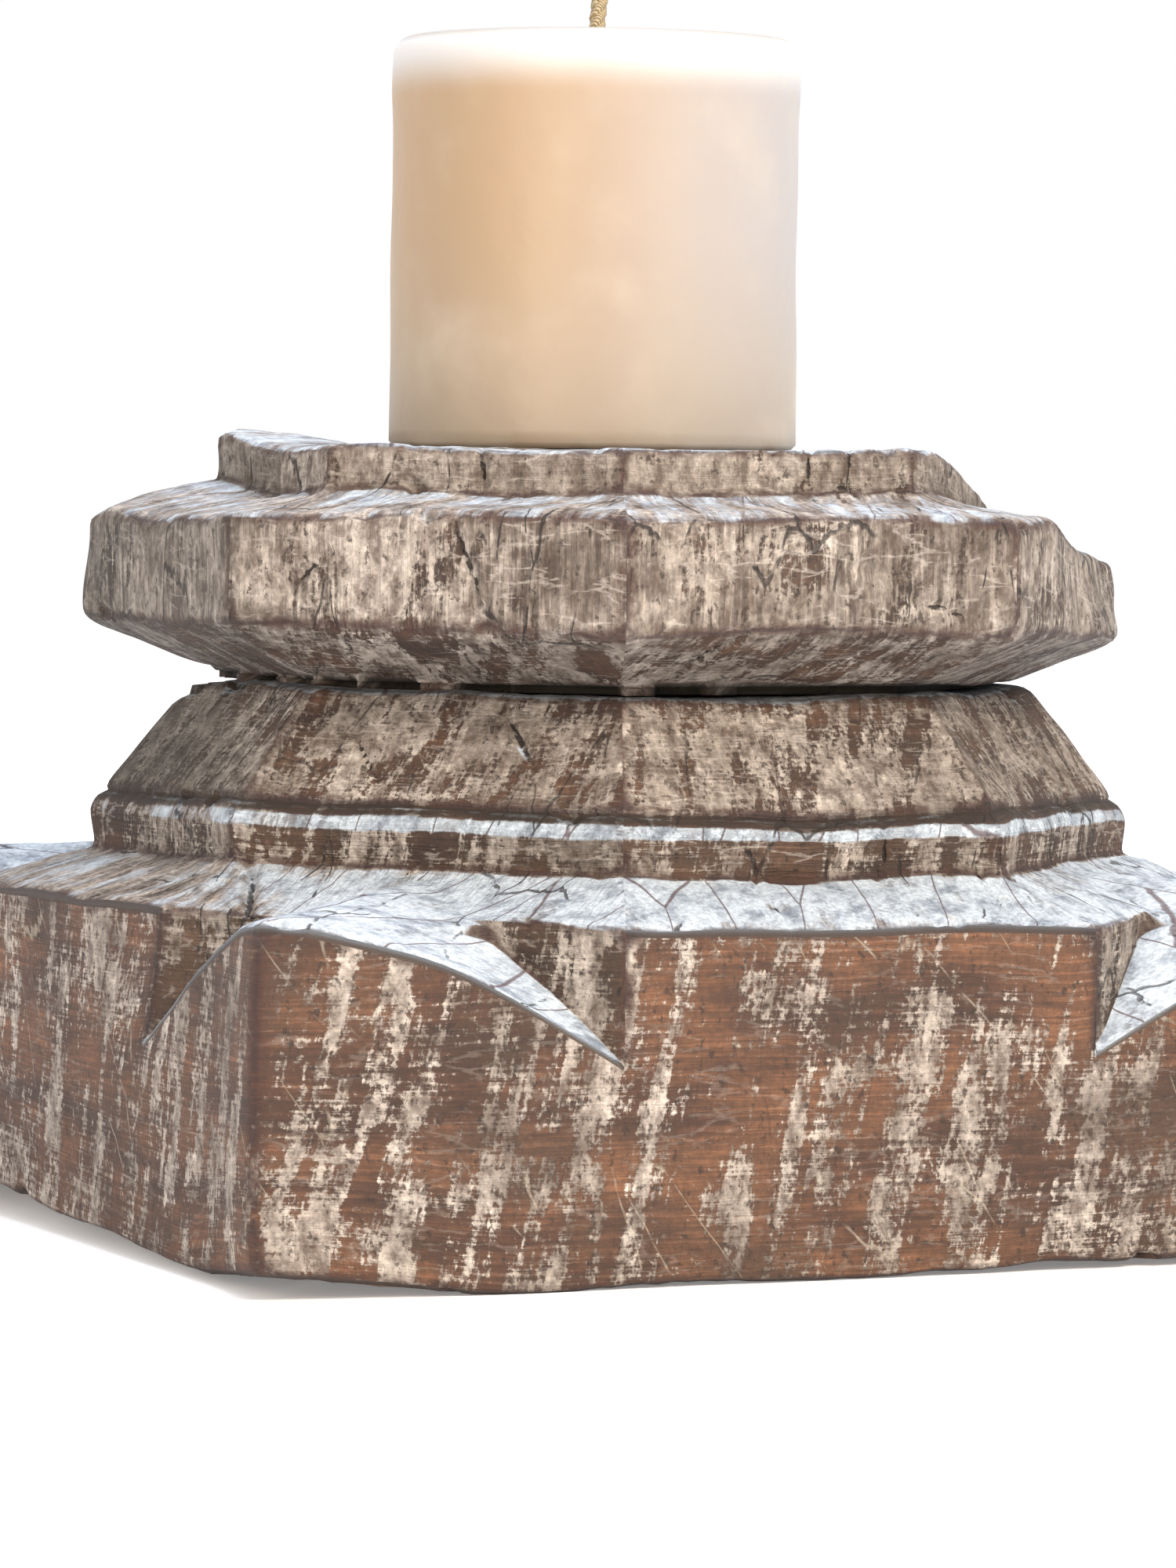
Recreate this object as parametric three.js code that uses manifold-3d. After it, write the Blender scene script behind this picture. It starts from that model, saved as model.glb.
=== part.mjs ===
// Wooden candlestick: the carved base of an old timber pillar, built up from two
// blocks, with a pillar candle standing on a spike in its top.
// Millimetres, +Z up. The origin is the centre of the square foot, on the floor.
// The four flat faces of the square foot look along -Y, +X, +Y and -X.
import * as THREE from 'three';
import { mergeVertices } from 'three/addons/utils/BufferGeometryUtils.js';
import Module from 'manifold-3d';

const wasm = await Module();
wasm.setup();

// ---- Driving dimensions -------------------------------------------------------

const GAP = 0.3; // clearance between pieces that touch or fit into each other
const OVERREACH = 20; // how far a cutter runs past the face that it cuts

// Square foot, cut to an octagon above. Radii of octagonal tiers are corner radii.
const FOOT_WIDTH = 218;
const FOOT_HEIGHT = 61.5; // top edge of the flat face on each side
const SPUR_RISE = 2; // how far the carved spur on each corner stands above that edge
const SPUR_DROP = 28; // how much lower the spur ends, where it meets the flat face
const SPUR_FALL_POWER = 1.5; // above 1, the spur is level at the corner and then falls
const SPUR_TILT = THREE.MathUtils.degToRad(3.5); // the spur's top leans down outwards

// Flared tier above the foot, carved from the same timber.
const LEDGE_RISE = 7; // the sloping ledge between the foot and the lip
const LIP_RADIUS = 96;
const LIP_FACE = 7.5;
const LIP_ROUND = 3.5; // height of the eased edge on top of the lip
const FLARE_BOTTOM_RADIUS = 94;
const FLARE_TOP_RADIUS = 78;
const FLARE_HEIGHT = 19.5;

// Disc and cap, carved from a second timber.
const NECK_RADIUS = 70; // the narrow foot of the upper block, in the shadow gap
const NECK_HEIGHT = 1.5;
const BEVEL_BOTTOM_RADIUS = 75;
const BEVEL_HEIGHT = 9.5;
const DISC_RADIUS = 98.5;
const DISC_FACE = 18;
const SHOULDER_RISE = 5.5;
const CAP_RADIUS = 74;
const CAP_HEIGHT = 8.5;
const CAP_EASE = 1.5; // eased top edge of the cap

// Blind dowels between the two blocks.
const DOWEL_DIAMETER = 12;
const DOWEL_DEPTH = 22; // in each block
const DOWEL_CHAMFER = 1.2;
const DOWEL_CIRCLE = 36; // radius of the circle that the dowels stand on
const DOWEL_COUNT = 4;

// Iron plate, let in flush with the cap, and the spike through its middle. The candle
// stands on them, and all three are a little off the middle of the cap.
const PLATE_X = -3.5;
const PLATE_Y = 1.6;
const PLATE_DIAMETER = 66;
const PLATE_THICKNESS = 2;
const SPIKE_BASE_DIAMETER = 7;
const SPIKE_HEIGHT = 24;
const SPIKE_TIP_DIAMETER = 1;
const SHANK_DIAMETER = 5;
const SHANK_LENGTH = 22;
const SHANK_POINT = 5;

const SCREW_COUNT = 3;
const SCREW_CIRCLE = 24;
const SCREW_DIAMETER = 3.5;
const SCREW_LENGTH = 16;
const SCREW_POINT = 4;
const SCREW_HEAD_DIAMETER = 7;
const SCREW_HEAD_HEIGHT = 1.8;
const SCREW_SLOT_WIDTH = 0.9;
const SCREW_SLOT_DEPTH = 0.8;
const SCREW_SLOT_TURN = 0.7; // radians between the slots, as the screws happened to stop

// Candle and wick.
const CANDLE_DIAMETER = 76;
const CANDLE_HEIGHT = 76;
const CANDLE_EDGE_RADIUS = 4;
const CANDLE_FOOT_CHAMFER = 1;
const WICK_DIAMETER = 3;
const WICK_ABOVE = 11; // how far the wick stands out of the wax
const WICK_LEAN = 1.2; // how far its free end bends over
const WICK_TIP_GAP = 4; // wax bore left empty between the spike's tip and the wick

// ---- Heights that follow from them ----------------------------------------------

const SPUR_PEAK_Z = FOOT_HEIGHT + SPUR_RISE;
const LEDGE_TOP_Z = FOOT_HEIGHT + LEDGE_RISE;
const LIP_EDGE_Z = LEDGE_TOP_Z + LIP_FACE;
const FLARE_BOTTOM_Z = LIP_EDGE_Z + LIP_ROUND;
const LOWER_TOP_Z = FLARE_BOTTOM_Z + FLARE_HEIGHT;
const UPPER_BOTTOM_Z = LOWER_TOP_Z + GAP;
const BEVEL_BOTTOM_Z = UPPER_BOTTOM_Z + NECK_HEIGHT;
const DISC_BOTTOM_Z = BEVEL_BOTTOM_Z + BEVEL_HEIGHT;
const DISC_TOP_Z = DISC_BOTTOM_Z + DISC_FACE;
const CAP_BOTTOM_Z = DISC_TOP_Z + SHOULDER_RISE;
const CAP_TOP_Z = CAP_BOTTOM_Z + CAP_HEIGHT;
const PLATE_BOTTOM_Z = CAP_TOP_Z - PLATE_THICKNESS;
const CANDLE_BOTTOM_Z = CAP_TOP_Z + GAP;
const CANDLE_TOP_Z = CANDLE_BOTTOM_Z + CANDLE_HEIGHT;
const SPIKE_BOTTOM_Z = CAP_TOP_Z + GAP;
const SPIKE_TIP_Z = SPIKE_BOTTOM_Z + SPIKE_HEIGHT;
const WICK_BOTTOM_Z = SPIKE_TIP_Z + WICK_TIP_GAP;

const ROUND_SIDES = 32; // sides of a small round piece
const CANDLE_SIDES = 72;
const EDGE_STEPS = 6; // facets of the candle's rounded top edge
const SPUR_STEPS = 12; // facets on each half of the spur's curved top
const OCTAGON_SIDES = 8;
const HALF_SIDE_ANGLE = Math.PI / OCTAGON_SIDES;
const FOOT_CORNER_RADIUS = FOOT_WIDTH / 2 / Math.cos(HALF_SIDE_ANGLE);

// ---- Solids ---------------------------------------------------------------------

function solidOf(geometry) {
  geometry.deleteAttribute('normal');
  geometry.deleteAttribute('uv');
  const merged = mergeVertices(geometry, 1e-4);
  return new wasm.Manifold(new wasm.Mesh({
    numProp: 3,
    vertProperties: Float32Array.from(merged.attributes.position.array),
    triVerts: Uint32Array.from(merged.index.array),
  }));
}

function geometryOf(solid) {
  const mesh = solid.getMesh();
  const geometry = new THREE.BufferGeometry();
  geometry.setAttribute('position', new THREE.BufferAttribute(mesh.vertProperties, 3));
  geometry.setIndex(new THREE.BufferAttribute(mesh.triVerts, 1));
  geometry.computeVertexNormals();
  return geometry;
}

// Turns an outline of [radius, z] points about the Z axis. An outline that starts and
// ends on the axis gives a full solid, and one that closes on itself gives a ring.
function turned(outline, sides = ROUND_SIDES, turn = 0) {
  const points = outline.map(([radius, z]) => new THREE.Vector2(radius, z));
  const geometry = new THREE.LatheGeometry(points, sides, turn);
  geometry.rotateX(Math.PI / 2);
  return solidOf(geometry);
}

// An octagonal stack of tiers, with flat sides facing along X and Y.
function octagonal(outline) {
  return turned(outline, OCTAGON_SIDES, HALF_SIDE_ANGLE);
}

function turnedAt(outline, x, y) {
  return turned(outline).translate([x, y, 0]);
}

// A piece of the candle's stack: the plate, the spike, the candle and the wick.
function onPlate(solid) {
  return solid.translate([PLATE_X, PLATE_Y, 0]);
}

// Evenly spaced points on a circle about [x, y].
function circlePlaces(count, radius, firstAngle, [x, y]) {
  return Array.from({ length: count }, (_, index) => {
    const angle = firstAngle + (index * 2 * Math.PI) / count;
    return [x + radius * Math.cos(angle), y + radius * Math.sin(angle)];
  });
}

const dowelPlaces = circlePlaces(DOWEL_COUNT, DOWEL_CIRCLE, Math.PI / 4, [0, 0]);
const screwPlaces = circlePlaces(SCREW_COUNT, SCREW_CIRCLE, Math.PI / 2, [PLATE_X, PLATE_Y]);

// ---- Outlines shared by a piece and by the hole that it goes into ---------------
// spread is 0 for the piece, and the clearance for its hole.

function dowelOutline(spread) {
  const radius = DOWEL_DIAMETER / 2 + spread;
  const bottom = UPPER_BOTTOM_Z - DOWEL_DEPTH - spread;
  const top = LOWER_TOP_Z + DOWEL_DEPTH + spread;
  return [
    [0, bottom],
    [radius - DOWEL_CHAMFER, bottom],
    [radius, bottom + DOWEL_CHAMFER],
    [radius, top - DOWEL_CHAMFER],
    [radius - DOWEL_CHAMFER, top],
    [0, top],
  ];
}

function screwOutline(spread) {
  const head = SCREW_HEAD_DIAMETER / 2 + spread;
  const shank = SCREW_DIAMETER / 2 + spread;
  const tip = CAP_TOP_Z - SCREW_LENGTH - spread;
  return [
    [0, tip],
    [shank, tip + SCREW_POINT],
    [shank, CAP_TOP_Z - SCREW_HEAD_HEIGHT],
    [head, CAP_TOP_Z],
    [head, CAP_TOP_Z + spread],
    [0, CAP_TOP_Z + spread],
  ];
}

function shankOutline(spread, top) {
  const radius = SHANK_DIAMETER / 2 + spread;
  const tip = PLATE_BOTTOM_Z - SHANK_LENGTH - spread;
  return [
    [0, tip],
    [radius, tip + SHANK_POINT],
    [radius, top],
    [0, top],
  ];
}

function plateOutline(spread) {
  const radius = PLATE_DIAMETER / 2 + spread;
  return [
    [0, PLATE_BOTTOM_Z - spread],
    [radius, PLATE_BOTTOM_Z - spread],
    [radius, CAP_TOP_Z + spread],
    [0, CAP_TOP_Z + spread],
  ];
}

function cutDowelHoles(block) {
  return dowelPlaces.reduce(
    (cut, [x, y]) => cut.subtract(turnedAt(dowelOutline(GAP), x, y)),
    block,
  );
}

function cutScrewHoles(piece) {
  return screwPlaces.reduce(
    (cut, [x, y]) => cut.subtract(turnedAt(screwOutline(GAP), x, y)),
    piece,
  );
}

// ---- Lower block ----------------------------------------------------------------

// A carved spur on one corner of the foot, on the diagonal between +X and +Y. Its top
// is level at the corner and falls in a curve to the flat face on either side. It runs
// on past the corner, and the square outline of the foot cuts it off.
function cornerSpur() {
  const halfWidth = FOOT_WIDTH / 2;
  const flatHalf = halfWidth * Math.tan(HALF_SIDE_ANGLE);
  const reach = halfWidth - flatHalf; // along a side, from the corner to the flat face
  const topAt = (along) => SPUR_PEAK_Z - SPUR_DROP * (Math.abs(along) / reach) ** SPUR_FALL_POWER;
  const shape = new THREE.Shape();
  shape.moveTo(-reach * Math.SQRT1_2, -OVERREACH);
  shape.lineTo(reach * Math.SQRT1_2, -OVERREACH);
  for (let step = SPUR_STEPS; step >= -SPUR_STEPS; step -= 1) {
    const along = (reach * step) / SPUR_STEPS;
    shape.lineTo(along * Math.SQRT1_2, topAt(along));
  }
  const cornerDistance = halfWidth * Math.SQRT2;
  const startDistance = LIP_RADIUS * Math.cos(HALF_SIDE_ANGLE); // buried under the ledge
  const geometry = new THREE.ExtrudeGeometry(shape, {
    depth: cornerDistance - startDistance + OVERREACH,
    bevelEnabled: false,
  });
  geometry.translate(0, 0, startDistance - cornerDistance);
  geometry.rotateX(Math.PI / 2); // the outline stands upright, extruded along -Y
  geometry.rotateZ(Math.PI);
  geometry.translate(0, 0, -SPUR_PEAK_Z);
  geometry.rotateX(-SPUR_TILT);
  geometry.translate(0, cornerDistance, SPUR_PEAK_Z);
  geometry.rotateZ(-Math.PI / 4);
  return solidOf(geometry);
}

function makeLowerBlock() {
  const tiers = octagonal([
    [0, 0],
    [FOOT_CORNER_RADIUS, 0],
    [FOOT_CORNER_RADIUS, FOOT_HEIGHT],
    [LIP_RADIUS, LEDGE_TOP_Z],
    [LIP_RADIUS, LIP_EDGE_Z],
    [FLARE_BOTTOM_RADIUS, FLARE_BOTTOM_Z],
    [FLARE_TOP_RADIUS, LOWER_TOP_Z],
    [0, LOWER_TOP_Z],
  ]);
  const spur = cornerSpur();
  let block = tiers;
  for (const turn of [0, 90, 180, 270]) {
    block = block.add(spur.rotate([0, 0, turn]));
  }
  const square = new THREE.BoxGeometry(FOOT_WIDTH, FOOT_WIDTH, LOWER_TOP_Z);
  square.translate(0, 0, LOWER_TOP_Z / 2);
  return cutDowelHoles(block.intersect(solidOf(square)));
}

// ---- Upper block ----------------------------------------------------------------

function makeUpperBlock() {
  const block = octagonal([
    [0, UPPER_BOTTOM_Z],
    [NECK_RADIUS, UPPER_BOTTOM_Z],
    [NECK_RADIUS, BEVEL_BOTTOM_Z],
    [BEVEL_BOTTOM_RADIUS, BEVEL_BOTTOM_Z],
    [DISC_RADIUS, DISC_BOTTOM_Z],
    [DISC_RADIUS, DISC_TOP_Z],
    [CAP_RADIUS, CAP_BOTTOM_Z],
    [CAP_RADIUS, CAP_TOP_Z - CAP_EASE],
    [CAP_RADIUS - CAP_EASE, CAP_TOP_Z],
    [0, CAP_TOP_Z],
  ]);
  return cutScrewHoles(cutDowelHoles(block))
    .subtract(onPlate(turned(plateOutline(GAP))))
    .subtract(onPlate(turned(shankOutline(GAP, CAP_TOP_Z))));
}

// ---- Plate, spike, screws and dowels ----------------------------------------------

function makePlate() {
  return cutScrewHoles(onPlate(turned(plateOutline(0))))
    .subtract(onPlate(turned(shankOutline(GAP, CAP_TOP_Z + OVERREACH))));
}

function makeSpike() {
  const cone = turned([
    [0, SPIKE_BOTTOM_Z],
    [SPIKE_BASE_DIAMETER / 2, SPIKE_BOTTOM_Z],
    [SPIKE_TIP_DIAMETER / 2, SPIKE_TIP_Z],
    [0, SPIKE_TIP_Z],
  ]);
  return onPlate(cone.add(turned(shankOutline(0, SPIKE_BOTTOM_Z + GAP))));
}

function makeScrew(x, y, index) {
  const slot = new THREE.BoxGeometry(
    SCREW_HEAD_DIAMETER + OVERREACH,
    SCREW_SLOT_WIDTH,
    2 * SCREW_SLOT_DEPTH,
  );
  slot.rotateZ(index * SCREW_SLOT_TURN);
  slot.translate(x, y, CAP_TOP_Z);
  return turnedAt(screwOutline(0), x, y).subtract(solidOf(slot));
}

// ---- Candle -----------------------------------------------------------------------

function candleEdge(radius) {
  return Array.from({ length: EDGE_STEPS + 1 }, (_, index) => {
    const angle = (index / EDGE_STEPS) * (Math.PI / 2);
    return [
      radius - CANDLE_EDGE_RADIUS * (1 - Math.cos(angle)),
      CANDLE_TOP_Z - CANDLE_EDGE_RADIUS * (1 - Math.sin(angle)),
    ];
  });
}

function makeCandle() {
  const radius = CANDLE_DIAMETER / 2;
  const spikeHole = SPIKE_BASE_DIAMETER / 2 + GAP;
  const wickHole = WICK_DIAMETER / 2 + GAP;
  const outline = [
    [spikeHole, CANDLE_BOTTOM_Z],
    [radius - CANDLE_FOOT_CHAMFER, CANDLE_BOTTOM_Z],
    [radius, CANDLE_BOTTOM_Z + CANDLE_FOOT_CHAMFER],
    ...candleEdge(radius),
    [wickHole, CANDLE_TOP_Z],
    [wickHole, SPIKE_TIP_Z],
    [spikeHole, CANDLE_BOTTOM_Z],
  ];
  return onPlate(turned(outline, CANDLE_SIDES));
}

function makeWick() {
  const path = new THREE.CatmullRomCurve3([
    new THREE.Vector3(0, 0, WICK_BOTTOM_Z),
    new THREE.Vector3(0, 0, CANDLE_TOP_Z - WICK_ABOVE),
    new THREE.Vector3(0, 0, CANDLE_TOP_Z),
    new THREE.Vector3(WICK_LEAN / 3, 0, CANDLE_TOP_Z + WICK_ABOVE / 2),
    new THREE.Vector3(WICK_LEAN, 0, CANDLE_TOP_Z + WICK_ABOVE),
  ]);
  const section = new THREE.Shape();
  section.absarc(0, 0, WICK_DIAMETER / 2, 0, 2 * Math.PI);
  return onPlate(solidOf(new THREE.ExtrudeGeometry(section, {
    steps: 16,
    curveSegments: 6,
    extrudePath: path,
  })));
}

// ---- Assembly ---------------------------------------------------------------------

const wood = { color: 0x8a5f3e, roughness: 0.85, metalness: 0 };
const paleWood = { color: 0xa58a66, roughness: 0.85, metalness: 0 };
const dowelWood = { color: 0xc9a878, roughness: 0.7, metalness: 0 };
const iron = { color: 0x3a3735, roughness: 0.6, metalness: 0.8 };
const zinc = { color: 0x8d8f92, roughness: 0.4, metalness: 0.9 };
const wax = { color: 0xe3cfae, roughness: 0.5, metalness: 0 };
const cotton = { color: 0xd8c39c, roughness: 0.95, metalness: 0 };

const candlestick = new THREE.Group();

function addPiece(name, solid, look) {
  const mesh = new THREE.Mesh(
    geometryOf(solid),
    new THREE.MeshStandardMaterial({ ...look, flatShading: true }),
  );
  mesh.name = name;
  candlestick.add(mesh);
}

addPiece('lower_block', makeLowerBlock(), wood);
addPiece('upper_block', makeUpperBlock(), paleWood);
dowelPlaces.forEach(([x, y], index) => {
  addPiece(`joint_dowel_${index + 1}`, turnedAt(dowelOutline(0), x, y), dowelWood);
});
addPiece('candle_plate', makePlate(), iron);
addPiece('spike', makeSpike(), iron);
screwPlaces.forEach(([x, y], index) => {
  addPiece(`plate_screw_${index + 1}`, makeScrew(x, y, index), zinc);
});
addPiece('candle', makeCandle(), wax);
addPiece('wick', makeWick(), cotton);

export default candlestick;
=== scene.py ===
"""A wooden candlestick: the worn, limewashed base of an old carved pillar, with a candle.

The two blocks of timber, the candle and the wick are modelled here in full detail. The iron
plate, the spike, the screws and the dowels keep their solids and get their finishes here.
"""

import math
from collections import namedtuple

import bmesh
import bpy
import numpy as np
from mathutils import Matrix, Vector


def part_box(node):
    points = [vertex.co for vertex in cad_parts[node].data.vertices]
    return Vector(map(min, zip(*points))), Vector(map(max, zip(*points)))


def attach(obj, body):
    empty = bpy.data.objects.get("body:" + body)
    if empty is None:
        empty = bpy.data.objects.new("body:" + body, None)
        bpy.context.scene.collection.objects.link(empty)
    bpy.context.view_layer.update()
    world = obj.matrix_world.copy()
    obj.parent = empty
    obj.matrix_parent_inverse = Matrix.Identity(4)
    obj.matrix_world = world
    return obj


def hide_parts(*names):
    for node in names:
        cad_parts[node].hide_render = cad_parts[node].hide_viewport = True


MM = 0.001
OCTANTS = 8
HALF_SIDE = math.pi / OCTANTS
COLUMNS_PER_OCTANT = 64
COLUMNS = OCTANTS * COLUMNS_PER_OCTANT

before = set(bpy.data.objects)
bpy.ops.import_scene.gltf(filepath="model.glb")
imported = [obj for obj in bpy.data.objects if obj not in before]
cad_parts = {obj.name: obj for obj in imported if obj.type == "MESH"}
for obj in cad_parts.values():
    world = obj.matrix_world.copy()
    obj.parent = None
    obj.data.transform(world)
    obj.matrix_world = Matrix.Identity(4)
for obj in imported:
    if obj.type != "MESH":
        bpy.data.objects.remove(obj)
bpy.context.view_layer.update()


# ---- Sizes, read from the frame where it holds them ------------------------------------

LOWER_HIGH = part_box("lower_block")[1]
UPPER_LOW, UPPER_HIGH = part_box("upper_block")
CANDLE_LOW, CANDLE_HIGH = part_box("candle")
PLATE_LOW, PLATE_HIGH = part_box("candle_plate")
SPIKE_LOW, SPIKE_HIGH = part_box("spike")
WICK_LOW, WICK_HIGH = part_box("wick")

FOOT_HALF = LOWER_HIGH.x
FOOT_TOP = 61.5 * MM
SPUR_PEAK = FOOT_TOP + 2 * MM
SPUR_DROP = 28 * MM
SPUR_FALL_POWER = 1.5
SPUR_LEAN = math.tan(math.radians(3.5))
LEDGE_TOP = FOOT_TOP + 7 * MM
LIP_APOTHEM = 96 * MM * math.cos(HALF_SIDE)
LIP_EDGE = LEDGE_TOP + 7.5 * MM
FLARE_BOTTOM = LIP_EDGE + 3.5 * MM
FLARE_BOTTOM_APOTHEM = 94 * MM * math.cos(HALF_SIDE)
FLARE_TOP_APOTHEM = 78 * MM * math.cos(HALF_SIDE)
LOWER_TOP = LOWER_HIGH.z

UPPER_BOTTOM = UPPER_LOW.z
NECK_APOTHEM = 70 * MM * math.cos(HALF_SIDE)
BEVEL_BOTTOM = UPPER_BOTTOM + 1.5 * MM
BEVEL_BOTTOM_APOTHEM = 75 * MM * math.cos(HALF_SIDE)
DISC_APOTHEM = UPPER_HIGH.x
DISC_BOTTOM = BEVEL_BOTTOM + 9.5 * MM
DISC_TOP = DISC_BOTTOM + 18 * MM
CAP_TOP = UPPER_HIGH.z
CAP_BOTTOM = CAP_TOP - 8.5 * MM
CAP_APOTHEM = 74 * MM * math.cos(HALF_SIDE)
PLATE_MIDDLE = (PLATE_LOW + PLATE_HIGH) / 2
RECESS_RADIUS = (PLATE_HIGH.x - PLATE_LOW.x) / 2 + 0.3 * MM
RECESS_FLOOR = PLATE_LOW.z - 0.3 * MM
SPIKE_RADIUS = (SPIKE_HIGH.x - SPIKE_LOW.x) / 2
WICK_RADIUS = (WICK_HIGH.y - WICK_LOW.y) / 2
CANDLE_RADIUS = (CANDLE_HIGH.x - CANDLE_LOW.x) / 2

# The candlestick is seen from in front of its left front corner. These are the directions
# sideways and towards the eye, as seen from there.
VIEW_TURN = math.radians(-24.1)
RIGHT = np.array((math.cos(VIEW_TURN), math.sin(VIEW_TURN), 0))
NEAR = np.array((math.sin(VIEW_TURN), -math.cos(VIEW_TURN), 0))


# ---- Camera ------------------------------------------------------------------------------


def make_camera():
    distance = 1.25
    eye_height = 0.1387
    aim_height = 0.0803
    aim_left = 0.0038
    focal_length = 4.2805  # in heights of the frame
    roll = math.radians(0.66)
    position = Vector(NEAR) * distance
    position.z = eye_height
    target = Vector((0, 0, aim_height)) - Vector(RIGHT) * aim_left
    data = bpy.data.cameras.new("camera")
    data.sensor_width = 36
    data.lens = data.sensor_width * focal_length
    camera = bpy.data.objects.new("camera", data)
    bpy.context.scene.collection.objects.link(camera)
    aim = (target - position).to_track_quat("-Z", "Y").to_matrix()
    turn = aim @ Matrix.Rotation(roll, 3, "Z")
    camera.matrix_world = Matrix.Translation(position) @ turn.to_4x4()
    bpy.context.scene.camera = camera


# ---- Noise, the same on every run --------------------------------------------------------


def lattice(cells, seed):
    """A number from 0 to 1 for each whole cell of space."""
    x, y, z = (cells[..., axis].astype(np.int64) for axis in range(3))
    mixed = (x * 374761393 + y * 668265263 + z * 2246822519 + seed * 3266489917) & 0xFFFFFFFF
    mixed = ((mixed ^ (mixed >> 13)) * 1274126177) & 0xFFFFFFFF
    mixed ^= mixed >> 16
    return mixed / 0xFFFFFFFF


def noise(points, cell, seed=0):
    """Smooth noise from -1 to 1, with features about one cell across."""
    place = points / cell
    corner = np.floor(place)
    blend = place - corner
    blend = blend * blend * (3 - 2 * blend)
    total = np.zeros(points.shape[:-1])
    for dx in (0, 1):
        for dy in (0, 1):
            for dz in (0, 1):
                step = np.array((dx, dy, dz))
                weight = np.prod(np.where(step, blend, 1 - blend), axis=-1)
                total += weight * lattice(corner + step, seed)
    return total * 2 - 1


def rough_noise(points, cell, octaves, seed=0):
    """Noise with finer and weaker noise added, each octave half the size of the last."""
    total = np.zeros(points.shape[:-1])
    for octave in range(octaves):
        total += noise(points, cell / 2**octave, seed + octave) / 2**octave
    return total


def ramp(value, low, high):
    """0 below low, 1 above high, and smooth in between."""
    share = np.clip((value - low) / (high - low), 0, 1)
    return share * share * (3 - 2 * share)


# ---- A block of timber as rows and columns of points ---------------------------------------
# A row runs round the block, and the rows follow one another from the middle of its top down
# to the middle of its underside. Each eighth of the columns is one side of the octagon.

column_index = np.arange(COLUMNS)
octant = column_index // COLUMNS_PER_OCTANT
# Across a side, from -1 at one arris to 1 at the next.
across = -1 + 2 * (column_index % COLUMNS_PER_OCTANT) / COLUMNS_PER_OCTANT
side_angle = np.arange(OCTANTS) * 2 * HALF_SIDE
side_outward = np.stack((np.cos(side_angle), np.sin(side_angle), 0 * side_angle), axis=-1)
side_along = np.stack((-np.sin(side_angle), np.cos(side_angle), 0 * side_angle), axis=-1)
on_corner_side = octant % 2 == 1
UP = np.array((0, 0, 1))


def ring(distance, height, half_width=None):
    """A row of points on the octagon's sides, at a distance out from the axis."""
    distance = np.broadcast_to(distance, (COLUMNS,))
    if half_width is None:
        half_width = distance * math.tan(HALF_SIDE)
    height = np.broadcast_to(height, (COLUMNS,))
    flat = side_outward[octant] * distance[:, None]
    flat = flat + side_along[octant] * (across * half_width)[:, None]
    return flat + height[:, None] * UP


def circle(radius, height):
    """A row of points on a circle round the middle of the iron plate."""
    direction = ring(1, 0)
    direction /= np.linalg.norm(direction, axis=-1, keepdims=True)
    return direction * radius + np.array((PLATE_MIDDLE.x, PLATE_MIDDLE.y, height))


def stack(stations):
    """Rows through a list of (zone, row, steps to reach it), and the zone of each row."""
    rows = [stations[0][1]]
    zones = [stations[0][0]]
    for (_, start, _), (zone, end, steps) in zip(stations, stations[1:]):
        shares = np.linspace(0, 1, steps + 1)[1:]
        rows += [start + (end - start) * share for share in shares]
        zones += [zone] * steps
    return np.array(rows), np.array(zones)


def neighbours(grid):
    """The values above, below, before and after each one."""
    above, below = np.roll(grid, 1, axis=0), np.roll(grid, -1, axis=0)
    above[0], below[-1] = grid[0], grid[-1]
    return above, below, np.roll(grid, 1, axis=1), np.roll(grid, -1, axis=1)


def spread(grid, passes, gain=1.0):
    """Lets the values of a grid run out into the ones beside them."""
    for _ in range(passes):
        grid = np.maximum(grid, gain * sum(neighbours(grid)) / 4)
    return np.clip(grid, 0, 1)


def soften(points, strength, passes):
    """Wears points down towards the mean of their neighbours, by a strength from 0 to 1."""
    for _ in range(passes):
        mean = sum(neighbours(points)) / 4
        mean[0], mean[-1] = points[0], points[-1]
        points = points + (mean - points) * strength[..., None]
    return points


def normals_of(points):
    above, below, before, after = neighbours(points)
    normal = np.cross(below - above, after - before)
    return normal / np.maximum(np.linalg.norm(normal, axis=-1, keepdims=True), 1e-9)


def edges_of(points):
    """1 on the sharp edges of a block, falling to 0 about three millimetres away."""
    step = sum(neighbours(points)) / 4 - points
    bend = np.abs(np.einsum("rci,rci->rc", step, normals_of(points)))
    edges = ramp(bend, 0.02 * MM, 0.2 * MM)
    edges[:2], edges[-2:] = 0, 0
    return spread(edges, 3, 1.25)


def dent(points, place, reach, push, narrow):
    """Moves the points around a place by push, less and less out to the reach, all in mm.

    The reach is shorter by the factors of narrow along X, Y and Z.
    """
    offset = (points - np.array(place) * MM) * np.array(narrow)
    distance = np.linalg.norm(offset, axis=-1)
    return points + (1 - ramp(distance, 0, reach * MM))[..., None] * np.array(push) * MM


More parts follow.
